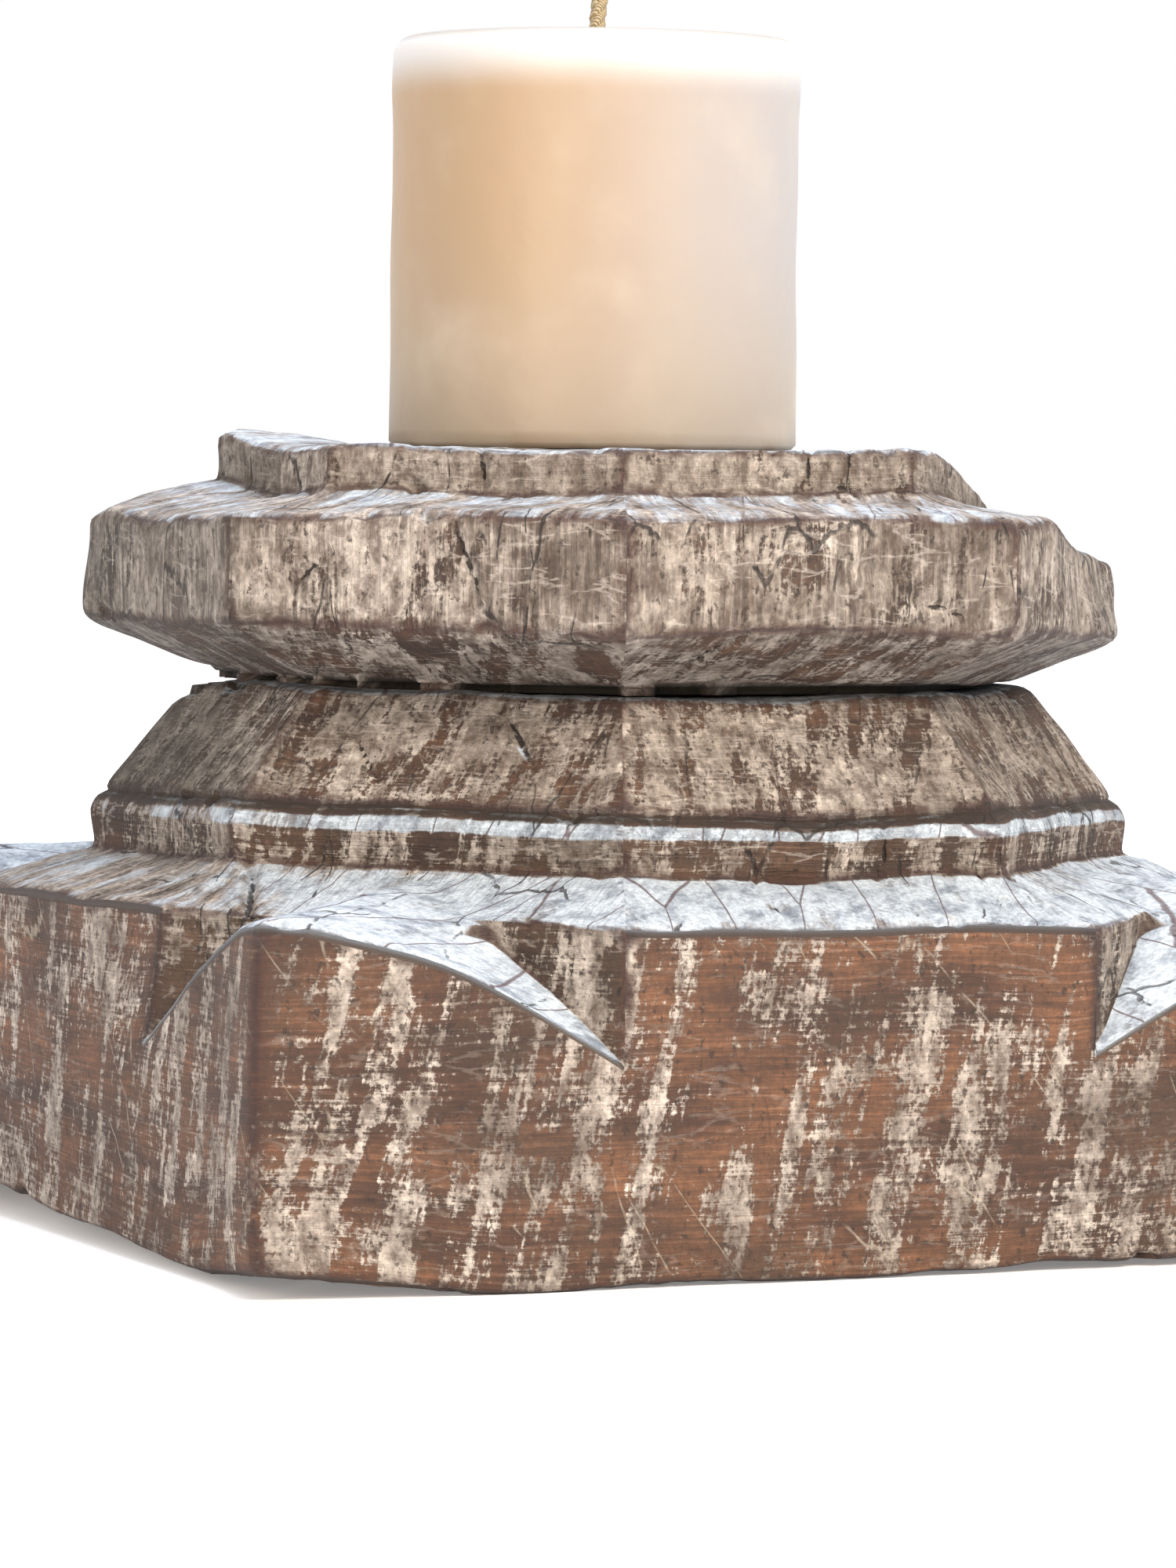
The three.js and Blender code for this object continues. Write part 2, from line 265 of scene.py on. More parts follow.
def split(points, side, start, end, width=1.1, depth=1.5):
    """A drying crack in one side, between two places (sideways, height), all in mm."""
    start, run = np.array(start) * MM, (np.array(end) - np.array(start)) * MM
    local = np.stack((points @ side_along[side], points[..., 2]), axis=-1)
    local += noise(points, 6 * MM, side + 60)[..., None] * np.array((1.1, -0.8)) * MM
    share = np.clip(((local - start) @ run) / (run @ run), 0, 1)
    gap = np.linalg.norm(local - start - share[..., None] * run, axis=-1)
    facing = np.abs((octant - side + 4) % OCTANTS - 4) <= 1
    outside = points @ side_outward[side] > 50 * MM
    taper = 0.4 + 0.6 * np.sin(math.pi * share)
    opening = (1 - ramp(gap, 0, width * MM)) * taper * facing * outside
    return points - normals_of(points) * (opening * depth * MM)[..., None], opening


def age(points, seed, wear, sag, passes=5):
    """Wears the edges of a sharp block, and gives it hollows, chips and tool marks."""
    edges = edges_of(points)
    sway = noise(points, 34 * MM, seed + 40) * 1.1 * MM
    sway += noise(points, 13 * MM, seed + 41) * 0.5 * MM
    points = points + (sway * spread(edges, 4, 1.1))[..., None] * UP
    patchy = 0.65 + 0.5 * rough_noise(points, 24 * MM, 2, seed)
    points = soften(points, np.clip(edges * patchy * wear, 0, 0.9), passes)
    hollows = rough_noise(points, 30 * MM, 3, seed + 5) * sag
    chips = ramp(rough_noise(points, 8 * MM, 3, seed + 9), 0.5, 1.2) * edges * 2.2 * MM
    tool = noise(points * np.array((1, 1, 0.3)), 2.9 * MM, seed + 15) * 0.16 * MM
    moved = points + normals_of(points) * (hollows - chips + tool)[..., None]
    moved[0], moved[-1] = points[0], points[-1]
    return moved, edges


def in_strips(values):
    """Gives each side of the octagon a last column of its own, one step past its others."""
    strips = values.reshape(len(values), OCTANTS, COLUMNS_PER_OCTANT)
    last = 2 * strips[..., -1:] - strips[..., -2:-1]
    return np.concatenate((strips, last), axis=-1).reshape(len(values), -1)


def timber_object(name, points, sideways, down, layers):
    """A closed mesh of the points, with a map in metres sideways and down the block."""
    strip = COLUMNS_PER_OCTANT + 1
    side = np.repeat(np.arange(OCTANTS), strip)
    columns = (side * COLUMNS_PER_OCTANT + np.tile(np.arange(strip), OCTANTS)) % COLUMNS
    laid_out = points[:, columns]
    shape = bmesh.new()
    bmesh.ops.create_grid(
        shape, x_segments=len(columns) - 1, y_segments=len(points) - 1, size=1
    )
    mesh = bpy.data.meshes.new(name)
    shape.to_mesh(mesh)
    mesh.vertices.foreach_set("co", laid_out.ravel())
    for key, values in layers.items():
        layer = mesh.attributes.new(key, "FLOAT", "POINT")
        layer.data.foreach_set("value", values[:, columns].ravel().astype(np.float32))
    corners = np.empty(len(mesh.loops), dtype=np.int32)
    mesh.loops.foreach_get("vertex_index", corners)
    flat_map = np.stack((in_strips(sideways), in_strips(down)), axis=-1).reshape(-1, 2)
    mesh.uv_layers.new(name="timber").data.foreach_set("uv", flat_map[corners].ravel())
    shape.clear()
    shape.from_mesh(mesh)
    bmesh.ops.remove_doubles(shape, verts=shape.verts, dist=1e-6)
    bmesh.ops.recalc_face_normals(shape, faces=shape.faces)
    for face in shape.faces:
        face.smooth = True
    shape.to_mesh(mesh)
    shape.free()
    return link(name, mesh)


def link(name, data):
    piece = bpy.data.objects.new(name, data)
    bpy.context.scene.collection.objects.link(piece)
    return piece


def along_the_side(points):
    """Distance along its own side of the octagon, with each side well apart on the map."""
    return np.einsum("rci,ci->rc", points, side_along[octant]) + octant * 0.25


# What each zone of a block shows, from 0 to 1: how much limewash is left, how far its marks
# run upright, how red the wood is, how much chalky white lies on it, which on upward faces is
# partly painted sky light, and how much dirt and painted shade darken it.
Finish = namedtuple("Finish", "lime upright red chalk dirt")


def painted_side_shade(points):
    """Painted shade on the left of the carved tiers, as seen from the eye, and a thinner darkening
    on the right.
    """
    leftness = ramp(points @ -RIGHT, 52 * MM, 74 * MM) * (points @ NEAR > -60 * MM)
    rightness = ramp(points @ RIGHT, 5 * MM, 85 * MM)
    return (leftness + rightness * 0.4) * (0.46 + 0.18 * rough_noise(points, 15 * MM, 2, 21))


def finish_layers(zones, finishes):
    """A grid of values for each part of a finish."""
    layers = {key: np.zeros(zones.shape) for key in Finish._fields}
    for zone, finish in finishes.items():
        for key, value in finish._asdict().items():
            layers[key][zones == zone] = value
    return layers


# ---- Lower block -----------------------------------------------------------------------------

# The dark of the top under the upper block, the groove, the wall and the lip is dirt and painted
# shade; the chalk of the lip top, ledge and spur is partly painted sky light.
LOWER_FINISHES = {
    "top": Finish(0.50, 0.5, 0.1, 0.0, 0.6),
    "flare": Finish(0.57, 0.6, 0.4, 0.0, 0.0),
    "groove": Finish(0.30, 0.0, 0.2, 0.0, 0.55),
    "lip_top": Finish(0.60, 0.3, 0.1, 0.85, 0.0),
    "lip": Finish(0.46, 0.0, 0.1, 0.0, 0.05),
    "ledge": Finish(0.80, 1.0, 0.1, 0.66, 0.0),
    "wall": Finish(0.46, 0.0, 0.1, 0.0, 0.2),
    "spur": Finish(0.80, 1.0, 0.2, 0.85, 0.0),
    "foot": Finish(0.35, 0.12, 1.0, 0.0, 0.0),
    "underside": Finish(0.20, 0.0, 0.8, 0.0, 0.0),
}


def spur_height(distance):
    fall = SPUR_DROP * np.abs(across) ** SPUR_FALL_POWER
    return SPUR_PEAK - fall + (FOOT_HALF * math.sqrt(2) - distance) * SPUR_LEAN


def ledge_height(distance):
    slope = (LEDGE_TOP - FOOT_TOP) / (FOOT_HALF - LIP_APOTHEM)
    return LEDGE_TOP - slope * (distance - LIP_APOTHEM)


def lower_rows():
    """The lower block with sharp edges: flare, lip, ledge, and the foot with its spurs."""
    flat_half = FOOT_HALF * math.tan(HALF_SIDE)
    corner_half = (FOOT_HALF - flat_half) * math.sqrt(0.5)
    share = np.abs(across)
    # The ledge runs out to the wall above a spur, or until it meets the spur's top.
    outs = np.linspace(LIP_APOTHEM, FOOT_HALF, 200)
    covered = np.array([spur_height(out) > ledge_height(out) for out in outs])
    first = np.where(covered.any(axis=0), covered.argmax(axis=0), len(outs) - 1)
    ledge_end = np.where(on_corner_side, outs[first], FOOT_HALF)
    ledge_end_height = ledge_height(ledge_end)

    outer = np.where(on_corner_side, FOOT_HALF * math.sqrt(2) - share * corner_half, FOOT_HALF)
    half_width = np.where(on_corner_side, corner_half, flat_half)
    notch = SPUR_PEAK - SPUR_DROP + FOOT_HALF * (math.sqrt(2) - 1) * SPUR_LEAN
    # Where there is no wall, its rows lie on the spur instead.
    wall_size = ledge_end_height - spur_height(FOOT_HALF)
    no_wall = 1 - ramp(wall_size, 0, 4 * MM)
    wall_distance = FOOT_HALF + no_wall * (outer - FOOT_HALF) * 0.35
    wall_low = np.where(on_corner_side, spur_height(wall_distance), notch)
    outer_high = np.where(on_corner_side, spur_height(outer), notch - 9 * MM * (1 - share))
    ledge_half = np.where(on_corner_side, corner_half, FOOT_HALF * math.tan(HALF_SIDE))

    points, row_zones = stack([
        ("top", ring(0, LOWER_TOP), 0),
        ("top", ring(0.85 * FLARE_TOP_APOTHEM, LOWER_TOP), 3),
        ("top", ring(FLARE_TOP_APOTHEM, LOWER_TOP), 4),
        ("flare", ring(FLARE_BOTTOM_APOTHEM, FLARE_BOTTOM), 20),
        ("groove", ring(FLARE_BOTTOM_APOTHEM - 1.4 * MM, FLARE_BOTTOM - 0.6 * MM), 1),
        ("groove", ring(FLARE_BOTTOM_APOTHEM + 0.3 * MM, FLARE_BOTTOM - 1.0 * MM), 1),
        ("groove", ring(LIP_APOTHEM - 0.6 * MM, LIP_EDGE + 1.9 * MM), 1),
        ("lip_top", ring(LIP_APOTHEM + 0.5 * MM, LIP_EDGE - 0.6 * MM), 3),
        ("lip", ring(LIP_APOTHEM, LEDGE_TOP), 7),
        ("ledge", ring(ledge_end, ledge_end_height, ledge_half), 15),
        ("wall", ring(wall_distance, wall_low, half_width), 15),
        ("spur", ring(outer, outer_high, half_width), 22),
        ("foot", ring(outer, 0.6 * MM, half_width), 38),
        ("underside", ring(outer - 0.5 * MM, 0, half_width), 1),
        ("underside", ring(0.8 * outer, 0, 0.8 * half_width), 5),
        ("underside", ring(0, 0, 0), 5),
    ])
    zones = np.repeat(row_zones[:, None], COLUMNS, axis=1)
    zones[(zones == "wall") & (no_wall > 0.5)] = "spur"
    zones[np.isin(zones, ("wall", "spur")) & ~on_corner_side] = "foot"
    return points, zones


def map_the_foot(points, zones):
    """The block's map: level, and unbroken right round the foot's upright faces."""
    flat_half = FOOT_HALF * math.tan(HALF_SIDE)
    half_width = np.where(on_corner_side, FOOT_HALF - flat_half, flat_half)
    round_the_foot = octant * FOOT_HALF + across * half_width + 3
    upright_face = zones == "foot"
    sideways = np.where(upright_face, round_the_foot, along_the_side(points))
    out = np.einsum("rci,ci->rc", points, side_outward[octant])
    down = LOWER_TOP - points[..., 2] + np.minimum(out, FOOT_HALF)
    down += (zones == "spur") * np.maximum(out - FOOT_HALF, 0)
    down += (zones == "underside") * (FOOT_HALF - np.minimum(out, FOOT_HALF)) * 2
    return sideways, down


def wear_the_foot(points):
    """The marks of a long life on the foot: leaning arrises and a bruised bottom edge."""
    half = FOOT_HALF / MM
    low = 0
    for place, reach, push, narrow in (
        # The front left corner leans out to the left.
        ((-half, -half, 5), 34, -2.6 * RIGHT, (1, 1, 1)),
        ((-half, -half, 30), 34, -2.6 * RIGHT, (1, 1, 1)),
        ((-half, -half, 58), 34, -2.6 * RIGHT, (1, 1, 1)),
        # The top edges are knocked in and down.
        ((-half, -45, 60), 30, 3.0 * RIGHT, (1, 1, 1)),
        ((45, -half, 66), 36, -2.0 * UP, (1, 1, 1)),
        ((half, -half, 64), 34, -3.0 * UP, (1, 1, 1)),
        # The bottom edges are worn away in long hollows.
        ((-half, -half, low), 50, 4.3 * UP, (1, 1, 1)),
        ((-half, 36, low), 88, 5.8 * UP, (2.6, 1, 2)),
        ((-half, -34, low), 46, 1.7 * UP, (1.6, 1, 1)),
        ((half + 3, -half, low), 92, 3.8 * UP, (1, 2.6, 2)),
        ((half, 60, low), 30, 2.6 * UP, (1, 1, 1)),
        ((-60, half, low), 26, 2.2 * UP, (1, 1, 1)),
    ):
        points = dent(points, place, reach, push, narrow)
    return points


def make_lower_block():
    points, zones = lower_rows()
    sideways, down = map_the_foot(points, zones)
    points, edges = age(points, 3, 0.42, 0.40 * MM)
    points = wear_the_foot(points)
    points[..., 2] = np.maximum(points[..., 2], 0)
    cracks = np.zeros(edges.shape)
    for side, start, end in (
        (5, (-18, 92), (-12, 84)),
        (5, (8, 97), (18, 86)),
        (6, (14, 77), (12, 67)),
        (6, (33, 74), (31, 60)),
        (6, (-12, 70), (-13, 60)),
        (5, (-34, 70), (-22, 58)),
        (1, (-20, 96), (-12, 82)),
        (3, (10, 78), (12, 62)),
        (7, (4, 95), (9, 84)),
    ):
        points, opening = split(points, side, start, end)
        cracks = np.maximum(cracks, opening)
    layers = finish_layers(zones, LOWER_FINISHES)
    layers.update(arris=edges, crack=cracks)
    # Upward faces get chalky white that is partly painted sky light.
    face_up = ramp(normals_of(points)[..., 2], 0.70, 0.92) * (points[..., 2] > 30 * MM)
    layers["chalk"] = np.maximum(layers["chalk"], face_up * 0.85)
    from_corner = np.linalg.norm(points[..., :2] + FOOT_HALF, axis=-1)
    layers["lime"] += 0.06 * (1 - ramp(from_corner, 20 * MM, 75 * MM)) * (zones == "foot")
    # Painted shade: less chalky white and sky light on the ledge and lip top towards the left, as
    # seen from the eye.
    painted_shade_to_left = ramp(points @ -RIGHT, 40 * MM, 78 * MM)
    layers["chalk"] -= 0.36 * painted_shade_to_left * np.isin(zones, ("ledge", "lip_top"))
    near_the_seam = ramp(points[..., 2], LOWER_TOP - 10 * MM, LOWER_TOP) * (zones == "flare")
    layers["lime"] -= 0.14 * near_the_seam
    # Painted shade on the left of the flare, and a thinner darkening on its right.
    layers["dirt"] = np.maximum(layers["dirt"], painted_side_shade(points) * (zones == "flare"))
    piece = timber_object("lower_timber", points, sideways, down, layers)
    piece.data.materials.append(limewashed_timber("limewashed_old_hardwood_foot"))
    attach(piece, "stand")
    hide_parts("lower_block")


# ---- Upper block -----------------------------------------------------------------------------

# The dark of the recess, the bevel, the neck between the blocks and the underside is dirt and
# painted shade; the chalk of the cap top and shoulder is partly painted sky light.
UPPER_FINISHES = {
    "recess": Finish(0.3, 0.0, 0.2, 0.0, 0.5),
    "cap_top": Finish(0.8, 1.0, 0.0, 0.62, 0.0),
    "cap": Finish(0.71, 0.5, 0.0, 0.0, 0.0),
    "shoulder": Finish(0.8, 1.0, 0.0, 0.50, 0.0),
    "disc": Finish(0.73, 1.0, 0.1, 0.0, 0.0),
    "bevel": Finish(0.48, 0.7, 0.35, 0.0, 0.08),
    "neck": Finish(0.9, 0.0, 0.0, 0.0, 1.0),
    "underside": Finish(0.2, 0.0, 0.2, 0.0, 1.0),
}


def upper_rows():
    """The upper block with sharp edges: cap, shoulder, disc, bevel and a thin neck that is painted
    dark as shade.
    """
    seam = ring(NECK_APOTHEM, 0)
    crumbs = ramp(noise(seam, 3.1 * MM, 77), 0.0, 0.35) * (1 - ramp(seam @ RIGHT, 4 * MM, 30 * MM))
    neck = NECK_APOTHEM + crumbs * (BEVEL_BOTTOM_APOTHEM - NECK_APOTHEM + 0.8 * MM)
    # The disc stands a little higher at the arris that faces the eye.
    bearing = np.arctan2(seam[:, 1], seam[:, 0])
    away = np.angle(np.exp(1j * (bearing + math.radians(105))))
    disc_edge = DISC_TOP + (1.4 + 1.8 * np.exp(-((away / 0.75) ** 2))) * MM
    rows, zones = stack([
        ("recess", circle(0, RECESS_FLOOR), 0),
        ("recess", circle(RECESS_RADIUS, RECESS_FLOOR), 4),
        ("recess", circle(RECESS_RADIUS, CAP_TOP), 2),
        ("cap_top", ring(CAP_APOTHEM, CAP_TOP), 25),
        ("cap", ring(CAP_APOTHEM, CAP_BOTTOM), 8),
        ("shoulder", ring(DISC_APOTHEM, disc_edge), 18),
        ("disc", ring(DISC_APOTHEM, DISC_BOTTOM), 16),
        ("bevel", ring(BEVEL_BOTTOM_APOTHEM, BEVEL_BOTTOM), 19),
        ("neck", ring(neck, BEVEL_BOTTOM), 3),
        ("neck", ring(neck, UPPER_BOTTOM), 2),
        ("underside", ring(0, UPPER_BOTTOM), 5),
    ])
    return rows, zones, crumbs


def down_the_disc(points):
    """Distance down the block for its map."""
    out = np.einsum("rci,ci->rc", points, side_outward[octant])
    steps = np.abs(np.diff(out, axis=0)) + np.abs(np.diff(points[..., 2], axis=0))
    return np.concatenate((np.zeros((1, COLUMNS)), np.cumsum(steps, axis=0)))


def wear_the_disc(points):
    """Rounds off the ends of the disc and the cap where they stick out most."""
    # The arrises' distances from the axis, and the heights of the edges, in millimetres.
    disc, edge = 98.5, DISC_TOP / MM
    cap, top = 74, CAP_TOP / MM
    # Each is a bearing in degrees, a distance out, a height, a reach, and how far the wood
    # moves in and down (or up, where that is below 0).
    for turn, out, height, reach, inward, down in (
        (-22.5, disc, edge, 34, 4.0, 4.5),
        (-41, 0.96 * disc, edge, 26, 2.5, 4.0),
        (-4, 0.96 * disc, edge, 26, 2.5, 4.0),
        (-22.5, disc, DISC_BOTTOM / MM, 11, 1.5, -1.5),
        (157.5, disc, edge, 14, 1, 2),
        (22.5, disc, edge, 22, 3, 3),
        (-22.5, cap, top + 8, 48, 2.5, 8),
        (-22.5, cap, top, 16, 3, 1),
        (152, cap, top, 44, 0, -3.0),
        (157.5, cap, top, 9, 1, 2.5),
        (67.5, cap, top, 22, 1, 2),
        (-112.5, cap, top, 16, 1.5, -0.8),
    ):
        way = np.array((math.cos(math.radians(turn)), math.sin(math.radians(turn)), 0))
        place = way * out + UP * height
        points = dent(points, place, reach, -way * inward - UP * down, (1, 1, 1))
    return points


def clear_the_candle(points):
    """Keeps the block above its own underside, and flat under the candle."""
    beside = np.linalg.norm(points[..., :2] - np.array(PLATE_MIDDLE)[:2], axis=-1)
    room = ramp(beside, CANDLE_RADIUS + 2 * MM, CANDLE_RADIUS + 22 * MM) * 4 * MM
    points[..., 2] = np.clip(points[..., 2], UPPER_BOTTOM, CAP_TOP + room)
    return points


def make_upper_block():
    sharp, zones, crumbs = upper_rows()
    down = down_the_disc(sharp)
    points, edges = age(sharp, 31, 0.6, 0.55 * MM, 9)
    points[zones == "neck"] = sharp[zones == "neck"]
    points = wear_the_disc(points)
    cracks = np.zeros(edges.shape)
    for side, start, end in (
        (5, (-27, 116), (-17, 125)),
        (5, (5, 131), (11, 113)),
        (5, (0, 144), (1, 135)),
        (6, (4, 122), (16, 121)),
        (6, (16, 117), (31, 113)),
        (6, (8, 144), (7, 134)),
        (6, (16, 144), (16, 134)),
        (6, (-12, 112), (-20, 103)),
        (0, (-14, 126), (-4, 114)),
        (2, (12, 131), (9, 112)),
        (3, (-20, 122), (-6, 120)),
    ):
        points, opening = split(points, side, start, end)
        cracks = np.maximum(cracks, opening)
    points = clear_the_candle(points)
    layers = finish_layers(np.repeat(zones[:, None], COLUMNS, axis=1), UPPER_FINISHES)
    layers.update(arris=edges, crack=cracks)
    layers["dirt"] = np.clip(layers["dirt"] - crumbs * 0.8, 0, 1)
    # Painted shade on the left of the disc, cap and bevel, and a thinner darkening on their right.
    upright = np.isin(zones, ("disc", "cap", "bevel"))[:, None]
    layers["dirt"] = np.maximum(layers["dirt"], painted_side_shade(points) * upright)
    piece = timber_object("upper_timber", points, along_the_side(sharp), down, layers)
    piece.data.materials.append(limewashed_timber("limewashed_old_hardwood_disc"))
    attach(piece, "stand")
    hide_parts("upper_block")


# ---- Materials ---------------------------------------------------------------------------------


def linear(colour):
    """An sRGB hex colour as the linear numbers that shaders take."""
    channels = [int(colour[at : at + 2], 16) / 255 for at in (1, 3, 5)]
    return [c / 12.92 if c <= 0.04045 else ((c + 0.055) / 1.055) ** 2.4 for c in channels] + [1]


def node(tree, kind, inputs=None, **settings):
    """Adds a shader node with its settings, and sets or links its inputs.

    An input is a number or vector, a hex colour, an output, or a node, whose first live
    output is taken.
    """
    added = tree.nodes.new("ShaderNode" + kind)
    for key, value in settings.items():
        setattr(added, key, value)
    for key, value in (inputs or {}).items():
        if isinstance(value, bpy.types.Node):
            value = next(output for output in value.outputs if output.enabled)
        if isinstance(value, bpy.types.NodeSocket):
            tree.links.new(value, added.inputs[key])
        else:
            is_colour = isinstance(value, str)
            added.inputs[key].default_value = linear(value) if is_colour else value
    return added


def new_material(name):
    material = bpy.data.materials.new(name)
    material.use_nodes = True
    material.node_tree.nodes.clear()
    return material, material.node_tree


def give_surface(tree, inputs):
    """Ends a material with one shader, from its colour, roughness and relief."""
    shader = node(tree, "BsdfPrincipled", inputs)
    node(tree, "OutputMaterial", {"Surface": shader})


def lay_coats(tree, surface, coats):
    """Lays colours over one another. Each coat is a colour and the shares that limit it."""
    for colour, cover, *limits in coats:
        for limit in limits:
            cover = node(tree, "Math", {0: cover, 1: limit}, operation="MULTIPLY")
        surface = node(tree, "Mix", {0: cover, 6: surface, 7: colour}, data_type="RGBA")
    return surface


def marks(tree, place, size, low=0.0, high=1.0, turn=0.0, detail=4.0):
    """Cloudy marks of a size in mm across and along the map, from 0 to 1."""
    laid = node(
        tree,
        "Mapping",
        {"Vector": place, "Rotation": (0, 0, turn), "Scale": (size[0] * MM, size[1] * MM, 1)},
        vector_type="TEXTURE",
    )
    clouds = node(
        tree,
        "TexNoise",
        {"Vector": laid, "Scale": 1.0, "Detail": detail, "Roughness": 0.68},
        noise_dimensions="2D",
    )
    return node(
        tree,
        "MapRange",
        {"Value": clouds, "From Min": low, "From Max": high},
        interpolation_type="SMOOTHSTEP",
    )


def seams(tree, place, size, width, turn=0.0, bend=0.4):
    """Thin lines between cells of a size in mm, with a width as a share of a cell."""
    laid = node(
        tree,
        "Mapping",
        {"Vector": place, "Rotation": (0, 0, turn), "Scale": (size[0] * MM, size[1] * MM, 1)},
        vector_type="TEXTURE",
    )
    bent = node(
        tree, "TexNoise", {"Vector": laid, "Scale": 2.2, "Detail": 3.0}, noise_dimensions="2D"
    )
    shaken = node(
        tree,
        "VectorMath",
        {0: bent.outputs[1], 1: (bend, bend, 0), 2: laid},
        operation="MULTIPLY_ADD",
    )
    cells = node(
        tree,
        "TexVoronoi",
        {"Vector": shaken, "Scale": 1.0},
        voronoi_dimensions="2D",
        feature="DISTANCE_TO_EDGE",
    )
    return node(
        tree,
        "MapRange",
        {"Value": cells, "From Min": width, "From Max": width * 0.3},
        interpolation_type="SMOOTHSTEP",
    )


def bare_wood(tree, place, layer, grooves):
    """The wood's own colour, in level bands 14 mm high, darker in the grooves of its grain."""
    bands = marks(tree, place, (60, 14), 0.3, 0.7)
    red = lay_coats(tree, "#40271A", [("#7B5236", bands)])
    grey = lay_coats(tree, "#2E1E16", [("#624937", bands)])
    return lay_coats(tree, grey, [(red, layer["red"]), ("#23160E", grooves, 0.5)])


def lime_coat(tree, place):
    """Limewash, mottled every 5 mm, and darker in some upright panels 11 mm wide."""
    laid = node(
        tree,
        "Mapping",
        {"Vector": place, "Rotation": (0, 0, 0.05), "Scale": (11 * MM, 38 * MM, 1)},
        vector_type="TEXTURE",
    )
    cells = node(tree, "TexVoronoi", {"Vector": laid, "Scale": 1.0}, voronoi_dimensions="2D")
    panels = node(tree, "SeparateColor", {0: cells.outputs["Color"]})
    mottled = marks(tree, place, (3.6, 6), 0.3, 0.68, detail=6)
    return lay_coats(tree, "#6E6157", [("#CCC1B4", mottled), ("#544638", panels, 0.45)])


def chalk_and_sky_light_coat(tree, place):
    """Cool, chalky white, partly painted sky light, with red-brown crazing about 13 mm apart."""
    cool = marks(tree, place, (5, 9), 0.22, 0.62, turn=0.5)
    crazed = seams(tree, place, (13, 90), 0.016, turn=0.2, bend=0.07)
    return lay_coats(tree, "#757F8B", [("#BEC8D0", cool), ("#4A2F30", crazed, 0.8)])


def drying_cracks(tree, place, layer):
    """The long cracks that are cut into the mesh, and fine ones 13 mm apart in patches."""
    rough = marks(tree, place, (1.4, 1.4))
    torn = node(tree, "Math", {0: rough, 1: 0.5, 2: layer["crack"]}, operation="MULTIPLY_ADD")
    long = node(
        tree,
        "MapRange",
        {"Value": torn, "From Min": 0.85, "From Max": 1.05},
        interpolation_type="SMOOTHSTEP",
    )
    fine = seams(tree, place, (13, 40), 0.02, turn=0.05, bend=0.3)
    patches = marks(tree, place, (20, 20), 0.51, 0.59)
    off_red = node(tree, "Math", {0: layer["red"], 1: -0.8, 2: 1.0}, operation="MULTIPLY_ADD")
    for limit in (patches, off_red):
        fine = node(tree, "Math", {0: fine, 1: limit}, operation="MULTIPLY")
    return node(tree, "Math", {0: fine, 1: long}, operation="MAXIMUM")


def slanting_scratches(tree, place, layer):
    """Fine scratches about 12 mm apart, in patches, where the wood is rubbed red."""
    lines = seams(tree, place, (60, 12), 0.016, turn=1.0, bend=0.2)
    for limit in (marks(tree, place, (26, 26), 0.52, 0.64), layer["red"]):
        lines = node(tree, "Math", {0: lines, 1: limit}, operation="MULTIPLY")
    return lines


